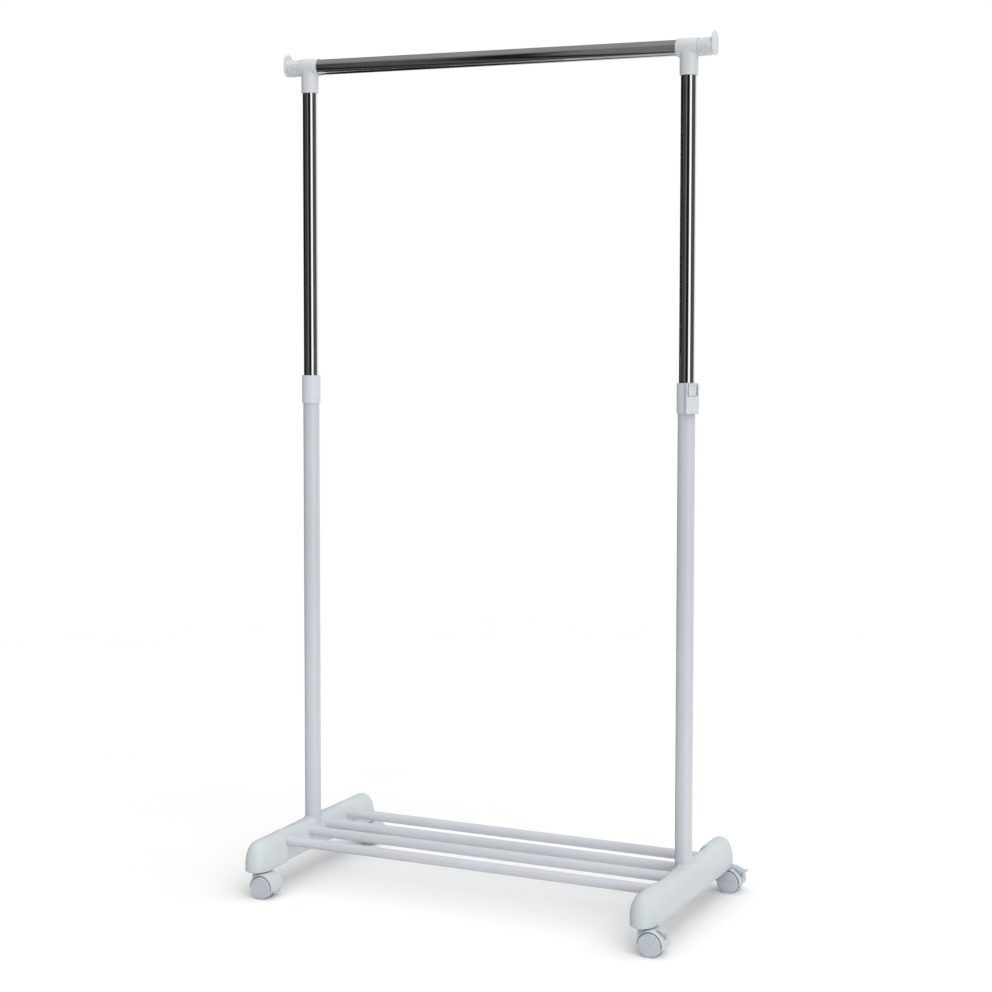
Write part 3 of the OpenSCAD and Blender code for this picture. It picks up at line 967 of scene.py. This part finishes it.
@dataclass
class ChromeTube:
    """A plated tube, turned as one smooth skin with rolled rims."""

    node: str
    body: str
    axis: str
    wall: float = 1 * MM
    rim: float = 0.45 * MM

    def build(self, wardrobe: Wardrobe) -> None:
        """Builds and dresses the tube.

        Args:
            wardrobe: The finishes, and where the pieces are hung.
        """
        low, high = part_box(self.node)
        size = high - low
        length, radius = (size.x, size.z / 2) if self.axis == "X" else (size.z, size.x / 2)
        inside = radius - self.wall
        half = length / 2
        rim = self.rim
        corners = [(inside, -half, rim), (radius, -half, rim), (radius, half, rim), (inside, half, rim)]
        tube = lathe(rounded(corners), along(self.axis, (low + high) / 2), 160)
        wardrobe.hang(f"{self.node}_skin", tube, self.body, Slot.CHROME, (self.node,))


# ---- rail ends ----


@dataclass
class RibRow:
    """A Geometry Nodes tree that sets ring-shaped ribs along an axis."""

    count: int
    pitch: float
    radius: float
    width: float
    rounding: float

    def tree(self, material: bpy.types.Material) -> bpy.types.NodeTree:
        """Builds the tree.

        Args:
            material: What the ribs are made of.

        Returns:
            The tree, with its sizes as inputs.
        """
        group = bpy.data.node_groups.new("rib row", "GeometryNodeTree")
        ports = (("Count", "NodeSocketInt"), ("Pitch", "NodeSocketFloat"), ("Radius", "NodeSocketFloat"),
                 ("Width", "NodeSocketFloat"), ("Rounding", "NodeSocketFloat"))
        for name, kind in ports:
            group.interface.new_socket(name=name, in_out="INPUT", socket_type=kind)
        group.interface.new_socket(name="Geometry", in_out="OUTPUT", socket_type="NodeSocketGeometry")
        graph = Graph(group)
        given = graph.node("NodeGroupInput")
        offset = graph.node("ShaderNodeCombineXYZ", None, {"X": given.outputs["Pitch"]})
        line = graph.node("GeometryNodeMeshLine", {"mode": "OFFSET"}, {
            "Count": given.outputs["Count"], "Offset": offset.outputs[0],
        })
        hoop = graph.node("GeometryNodeCurvePrimitiveCircle", None, {
            "Resolution": 96, "Radius": given.outputs["Radius"],
        })
        upright = graph.node("GeometryNodeTransform", None, {
            "Geometry": hoop.outputs[0], "Rotation": (0, math.pi / 2, 0),
        })
        strip = graph.node("GeometryNodeCurvePrimitiveQuadrilateral", {"mode": "RECTANGLE"}, {
            "Width": given.outputs["Width"], "Height": given.outputs["Width"],
        })
        soft = graph.node("GeometryNodeFilletCurve", {"mode": "POLY"}, {
            "Curve": strip.outputs[0], "Count": 4, "Radius": given.outputs["Rounding"],
        })
        ring = graph.node("GeometryNodeCurveToMesh", None, {
            "Curve": upright.outputs[0], "Profile Curve": soft.outputs[0],
        })
        row = graph.node("GeometryNodeInstanceOnPoints", None, {
            "Points": line.outputs[0], "Instance": ring.outputs[0],
        })
        real = graph.node("GeometryNodeRealizeInstances", None, {"Geometry": row.outputs[0]})
        dressed = graph.node("GeometryNodeSetMaterial", None, {
            "Geometry": real.outputs[0], "Material": material,
        })
        graph.node("NodeGroupOutput", None, {0: dressed.outputs[0]})
        return group

    def mesh(self, material: bpy.types.Material) -> bpy.types.Mesh:
        """Runs the tree.

        Args:
            material: What the ribs are made of.

        Returns:
            The ribs as a plain mesh, from the origin along X.
        """
        group = self.tree(material)
        shape = scratch(bmesh.new())
        modifier = shape.modifiers.new("ribs", "NODES")
        modifier.node_group = group
        for item in group.interface.items_tree:
            if item.in_out == "INPUT":
                modifier[item.identifier] = getattr(self, item.name.lower())
        return plain_mesh(shape)


@dataclass
class EndStop:
    """The ribbed plug at one end of the rail, with its upstanding flange."""

    side: Side
    flange: float = 3 * MM
    ribs: int = 5
    pitch: float = 4.2 * MM
    rib_width: float = 2.2 * MM
    rib_rise: float = 1.4 * MM
    rib_round: float = 0.55 * MM
    rib_start: float = 2 * MM
    spigot_drop: float = 1.05 * MM
    spigot_length: float = 18 * MM
    core_rise: float = 0.4 * MM
    wall: float = 2 * MM

    def __post_init__(self) -> None:
        """Reads the stop's place from the frame."""
        node = f"end_stop_{self.side.word}"
        low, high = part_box(node)
        rail_low, rail_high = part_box("hanging_rail")
        self.node = node
        self.rail_z = (rail_low.z + rail_high.z) / 2
        self.rail_r = (rail_high.z - rail_low.z) / 2
        self.rail_end = rail_high.x
        self.tip = high.x if self.side is Side.RIGHT else -low.x
        self.half = (high.y - low.y) / 2
        self.rise = high.z - self.rail_z - self.half

    def core(self) -> bmesh.types.BMesh:
        """The turned plug: a spigot in the rail and the smooth core outside it.

        Returns:
            The plug.
        """
        spigot, core = self.rail_r - self.spigot_drop, self.rail_r + self.core_rise
        start, end = self.rail_end - self.spigot_length, self.tip - self.flange + 1 * MM
        bore = spigot - self.wall
        outline = rounded([
            (bore, start, 0.3 * MM), (spigot, start, 0.8 * MM), (spigot, self.rail_end + 0.05 * MM, 0),
            (core, self.rail_end + 0.05 * MM, 0.3 * MM), (core, end, 0.2 * MM), (0, end, 0),
            (0, end - 2 * MM, 0), (bore, end - 2 * MM, 1 * MM),
        ])
        return lathe(outline, along("X", Vector((0, 0, self.rail_z)), self.side.value), 96)

    def plate(self) -> bmesh.types.BMesh:
        """The flange: a rounded plate with a broad chamfer on its inner edge.

        Returns:
            The plate.
        """
        mesh = bmesh.new()
        steps = 48
        outline = []
        for top, start in ((True, 0.0), (False, math.pi)):
            for step in range(steps + 1):
                angle = start + math.pi * step / steps
                outline.append((math.cos(angle), math.sin(angle), self.rise if top else 0.0))
        levels = ((0.0, 1.0), (0.6, 0.35), (1.2, 0.0), (2.2, 0.05), (2.75, 0.35), (3.0, 0.9))
        start = self.tip - self.flange
        rings = []
        for depth, inset in levels:
            radius = self.half - inset * MM
            x = self.side.value * (start + depth * MM)
            rings.append([
                mesh.verts.new(Vector((x, radius * across, self.rail_z + rise + radius * up)))
                for across, up, rise in outline
            ])
        count = len(outline)
        for here, there in zip(rings, rings[1:]):
            for index in range(count):
                after = (index + 1) % count
                mesh.faces.new((here[index], here[after], there[after], there[index]))
        mesh.faces.new(rings[0])
        mesh.faces.new(rings[-1])
        return tidy(mesh)

    def build(self, wardrobe: Wardrobe) -> None:
        """Builds and dresses the plug, its ribs and its flange.

        Args:
            wardrobe: The finishes, and where the pieces are hung.
        """
        body = "upper_frame"
        wardrobe.hang(f"{self.node}_core", self.core(), body, Slot.FITTING, (self.node,))
        wardrobe.hang(f"{self.node}_flange", self.plate(), body, Slot.FITTING)
        rib_r = self.rail_r + self.rib_rise
        row = RibRow(self.ribs, self.pitch, rib_r - self.rib_width / 2, self.rib_width, self.rib_round)
        ribs = row.mesh(wardrobe.materials[Slot.FITTING])
        first = self.rail_end + self.rib_start + self.rib_width / 2
        ribs.transform(Matrix.Translation((first, 0, self.rail_z)))
        if self.side is Side.LEFT:
            ribs.transform(Matrix.Rotation(math.pi, 4, "Z"))
        wardrobe.hang(f"{self.node}_ribs", ribs, body, Slot.FITTING)


@dataclass
class RailEnds:
    """The tees that hold the rail on the uprights, with their end stops."""

    edge: float = 0.7 * MM

    def build(self, wardrobe: Wardrobe) -> None:
        """Builds and dresses both ends.

        Args:
            wardrobe: The finishes, and where the pieces are hung.
        """
        for side in Side:
            node = f"tee_{side.word}"
            tee = softened(node, self.edge, 3)
            wardrobe.hang(f"{node}_moulding", tee, "upper_frame", Slot.FITTING, (node,))
            EndStop(side).build(wardrobe)
            wardrobe.dress_node(f"glide_bush_{side.word}", Slot.BUSH)


# ---- collars ----


@dataclass
class Collar:
    """The clamp collar on top of one lower tube, with its lever, pin, spring and pad."""

    side: Side
    edge: float = 0.6 * MM
    lever_edge: float = 0.45 * MM

    def build(self, wardrobe: Wardrobe) -> None:
        """Builds and dresses the collar and its lock.

        Args:
            wardrobe: The finishes, and where the pieces are hung.
        """
        word = self.side.word
        node, lever = f"collar_{word}", f"lock_lever_{word}"
        wardrobe.hang(f"{node}_moulding", softened(node, self.edge, 3), "base", Slot.COLLAR, (node,))
        wardrobe.hang(f"{lever}_moulding", softened(lever, self.lever_edge, 3), lever, Slot.COLLAR, (lever,))
        wardrobe.dress_node(f"clamp_pad_{word}", Slot.PAD)
        wardrobe.dress_node(f"lever_pin_{word}", Slot.ZINC)
        wardrobe.dress_node(f"lock_spring_{word}", Slot.ZINC)


# ---- casters ----


@dataclass
class Caster:
    """One twin-wheel caster: hood, stem, axle and two wheels, with a brake on the right side."""

    side: Side
    end: End
    tread_round: float = 2.2 * MM
    groove: float = 0.5 * MM
    edge: float = 0.4 * MM
    lever_edge: float = 0.35 * MM
    bore: float = 3.05 * MM
    mouth_gap: float = 1.9 * MM
    mouth_depth: float = 3 * MM

    def __post_init__(self) -> None:
        """Names the caster after its end and side."""
        self.name = f"{self.end.word}_{self.side.word}"

    def wheel(self, letter: str, wardrobe: Wardrobe) -> None:
        """Turns one wheel: crowned tread, ringed face, hub dimple and a blind bore.

        Args:
            letter: "a" for the front wheel or "b" for the rear one.
            wardrobe: The finishes.
        """
        node = f"wheel_{letter}_{self.name}"
        low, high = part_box(node)
        radius, width = (high.z - low.z) / 2, high.y - low.y
        facing = -1 if letter == "a" else 1
        inner = low.y if facing > 0 else high.y
        bore = self.bore
        ring_out, ring_in = radius * 0.88, radius * 0.84
        groove_floor = width - 0.3 * MM - self.groove
        outline = rounded([
            (bore, 0, 0.3 * MM), (radius * 0.42, 0, 0), (radius * 0.46, 1.6 * MM, 0.6 * MM),
            (radius * 0.8, 1.6 * MM, 0.8 * MM), (radius * 0.84, 0, 0.4 * MM),
            (radius - 0.25 * MM, 0, self.tread_round), (radius, width * 0.5, 40 * MM),
            (radius - 0.35 * MM, width - 0.9 * MM, self.tread_round),
            (ring_out, width - 0.3 * MM, 0.3 * MM), (ring_out - 0.3 * MM, groove_floor, 0.15 * MM),
            (ring_in, groove_floor, 0.15 * MM), (ring_in - 0.4 * MM, width - 0.15 * MM, 0.3 * MM),
            (radius * 0.3, width, 30 * MM), (radius * 0.16, width - 0.1 * MM, 0.2 * MM),
            (radius * 0.12, width - 0.5 * MM, 0.2 * MM), (0, width - 0.6 * MM, 0),
            (0, width - 2.2 * MM, 0), (bore, width - 2.2 * MM, 0),
        ], 4)
        centre = Vector(((low.x + high.x) / 2, inner, (low.z + high.z) / 2))
        turned = lathe(outline, along("Y", centre, facing), 120)
        wardrobe.hang(f"{node}_turned", turned, f"wheel_{letter}_{self.name}", Slot.WHEEL, (node,))

    def hood(self) -> bpy.types.Mesh:
        """The hood, its mouths opened out round the wheels.

        Returns:
            The mesh.
        """
        node = f"hood_{self.name}"
        low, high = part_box(node)
        cutters = []
        for letter, rim in (("a", low.y), ("b", high.y)):
            wheel_low, wheel_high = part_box(f"wheel_{letter}_{self.name}")
            reach = (wheel_high.z - wheel_low.z) / 2 + self.mouth_gap
            axle = (wheel_low + wheel_high) / 2
            depth = self.mouth_depth
            disc = [(0, -depth), (reach, -depth), (reach, depth), (0, depth)]
            cutters.append(lathe(disc, along("Y", Vector((axle.x, rim, axle.z))), 120))
        return softened(node, self.edge, cutters=tuple(cutters))

    def build(self, wardrobe: Wardrobe) -> None:
        """Builds and dresses the caster.

        Args:
            wardrobe: The finishes, and where the pieces are hung.
        """
        body = f"caster_{self.name}"
        hood = f"hood_{self.name}"
        wardrobe.hang(f"{hood}_moulding", self.hood(), body, Slot.CASTER, (hood,))
        for letter in "ab":
            self.wheel(letter, wardrobe)
        wardrobe.dress_node(f"stem_{self.name}", Slot.ZINC)
        wardrobe.dress_node(f"axle_{self.name}", Slot.ZINC)
        wardrobe.dress_node(f"stem_sleeve_{self.name}", Slot.BUSH)
        if self.side is Side.RIGHT:
            lever = f"brake_lever_{self.end.word}"
            brake = softened(lever, self.lever_edge)
            wardrobe.hang(f"{lever}_moulding", brake, f"brake_{self.end.word}", Slot.WHEEL, (lever,))
            wardrobe.dress_node(f"brake_pin_{self.end.word}", Slot.ZINC)


# ---- the room ----


@dataclass(frozen=True)
class Window:
    """A soft upright window in the surroundings, placed by its direction in degrees round the rack."""

    centre: float
    half: float
    edge: float
    strength: float

    def glow(self, angle: Signal) -> Signal:
        """The window's light in a direction.

        Args:
            angle: The direction's angle round the rack, in degrees.

        Returns:
            Its strength inside the window and 0 outside.
        """
        off = angle - self.centre
        distance = off.maths("ABSOLUTE", off)
        return (1 - distance.step(self.half - self.edge / 2, self.half + self.edge / 2)) * self.strength


@dataclass(frozen=True)
class Studio:
    """A pale floor, soft light from all round and a camera at the front right."""

    azimuth: float = 25.27
    pitch: float = 3.55
    roll: float = 0.07
    eye: tuple[float, float, float] = (1.54976, -3.26096, 1.08311)
    lens: float = 73.32
    lift: float = -0.0767
    floor_r: float = 3.0
    windows: tuple[Window, ...] = (
        Window(-38, 14, 12, 1.3),
        Window(82, 36, 16, 0.95),
        Window(-146, 4, 5, 0.14),
        Window(-124, 5, 8, 0.08),
        Window(-102, 9, 5, 0.17),
        Window(18, 30, 20, 0.08),
    )
    gloom: float = 0.012
    ceiling_light: float = 0.3
    ground_light: float = 0.5
    overhead_light: float = 1.54
    side_light: float = 0.54
    base_light: float = 0.03
    sun_energy: float = 0.75
    sun_spread: float = 50.0
    sun_tilt: float = 58.0
    sun_turn: float = 42.0

    def camera(self) -> None:
        """Sets the camera up."""
        data = bpy.data.cameras.new("camera")
        data.lens = self.lens
        data.shift_y = self.lift
        data.clip_start, data.clip_end = 0.05, 60
        camera = bpy.data.objects.new("camera", data)
        bpy.context.scene.collection.objects.link(camera)
        turn = Matrix.Rotation(math.radians(self.azimuth), 4, "Z")
        tilt = Matrix.Rotation(math.radians(90 - self.pitch), 4, "X")
        bank = Matrix.Rotation(math.radians(self.roll), 4, "Z")
        camera.matrix_world = Matrix.Translation(self.eye) @ turn @ tilt @ bank
        bpy.context.scene.camera = camera

    def floor(self) -> None:
        """Lays a pale disc of floor, which mirrors don't show."""
        mesh = bmesh.new()
        bmesh.ops.create_circle(mesh, cap_ends=True, segments=128, radius=self.floor_r)
        material, graph = blank_material("pale floor")
        here = graph.place("Object", (1, 1, 1))
        cloud = graph.noise(here, 3, 3)
        shader = graph.node("ShaderNodeBsdfPrincipled", None, {
            "Base Color": graph.blend(cloud, (0.93, 0.93, 0.93, 1), (0.96, 0.96, 0.96, 1)),
            "Roughness": cloud * 0.1 + 0.75,
            "Specular IOR Level": 0.1,
        })
        graph.node("ShaderNodeOutputMaterial", None, {0: shader.outputs[0]})
        floor = scratch(mesh, "floor")
        floor.data.materials.append(material)
        floor.visible_glossy = False

    def surroundings(self) -> None:
        """Lights the room: white to look at, soft for matt surfaces, windows for bright metal."""
        world = bpy.data.worlds.new("studio")
        world.use_nodes = True
        bpy.context.scene.world = world
        graph = Graph(world.node_tree)
        where = graph.node("ShaderNodeTexCoord").outputs["Generated"]
        parts = graph.node("ShaderNodeSeparateXYZ", None, {0: where})
        x, y, z = (graph.signal(parts, name) for name in "XYZ")
        angle = y.maths("ARCTAN2", y, x) * (180 / math.pi)
        lights: Signal | float = self.gloom
        for window in self.windows:
            lights = window.glow(angle) + lights
        ceiling = z.step(0.3, 0.75) * self.ceiling_light
        ground = (1 - z.step(-0.98, -0.86)) * self.ground_light
        mirror = lights * (1 - z.step(0.35, 0.6)) + ceiling + ground
        overhead = z.maths("MAXIMUM", z, 0.0)
        sideways = (x * 0.94 - y * 0.34).step(0.0, 0.6)
        key = overhead * overhead * self.overhead_light + sideways * self.side_light + self.base_light
        rays = graph.node("ShaderNodeLightPath")
        glossy = graph.node("ShaderNodeBackground", None, {"Color": mirror, "Strength": 1.0})
        matt = graph.node("ShaderNodeBackground", None, {"Color": key, "Strength": 1.0})
        white = graph.node("ShaderNodeBackground", None, {"Color": (1, 1, 1, 1), "Strength": 1.0})
        inner = graph.node("ShaderNodeMixShader", None, {
            0: graph.signal(rays, "Is Glossy Ray"), 1: matt.outputs[0], 2: glossy.outputs[0],
        })
        outer = graph.node("ShaderNodeMixShader", None, {
            0: graph.signal(rays, "Is Camera Ray"), 1: inner.outputs[0], 2: white.outputs[0],
        })
        graph.node("ShaderNodeOutputWorld", None, {0: outer.outputs[0]})

    def lamp(self) -> None:
        """One broad, soft key light from the front right."""
        data = bpy.data.lights.new("key", "SUN")
        data.energy = self.sun_energy
        data.angle = math.radians(self.sun_spread)
        key = bpy.data.objects.new("key", data)
        key.rotation_euler = (math.radians(self.sun_tilt), 0, math.radians(self.sun_turn))
        key.visible_glossy = False
        bpy.context.scene.collection.objects.link(key)

    def build(self) -> None:
        """Builds the room."""
        bpy.context.scene.view_settings.view_transform = "Standard"
        self.camera()
        self.floor()
        self.surroundings()
        self.lamp()


def build_base(wardrobe: Wardrobe) -> None:
    """Builds the feet, the shelf, the lower tubes and their fastenings.

    Args:
        wardrobe: The finishes, and where the pieces are hung.
    """
    for side in Side:
        Foot(side).build(wardrobe)
        wardrobe.dress_node(f"lower_tube_{side.word}", Slot.PAINT)
        Collar(side).build(wardrobe)
    for index in range(1, 5):
        wardrobe.dress_node(f"shelf_tube_{index}", Slot.PAINT)
    wardrobe.dress_node("tube_inserts", Slot.INSERT)
    wardrobe.dress_node("upright_bolts", Slot.ZINC)
    wardrobe.dress_node("shelf_screws", Slot.ZINC)


def build_top(wardrobe: Wardrobe) -> None:
    """Builds the upper tubes, the rail and its ends.

    Args:
        wardrobe: The finishes, and where the pieces are hung.
    """
    for side in Side:
        ChromeTube(f"upper_tube_{side.word}", "upper_frame", "Z").build(wardrobe)
    ChromeTube("hanging_rail", "upper_frame", "X").build(wardrobe)
    RailEnds().build(wardrobe)


def main() -> None:
    """Builds the whole scene in order."""
    logging.basicConfig(level=logging.INFO, format="%(name)s %(message)s")
    Studio().build()
    wardrobe = Wardrobe()
    build_base(wardrobe)
    build_top(wardrobe)
    for side in Side:
        for end in End:
            Caster(side, end).build(wardrobe)


if __name__ == "__main__":
    main()
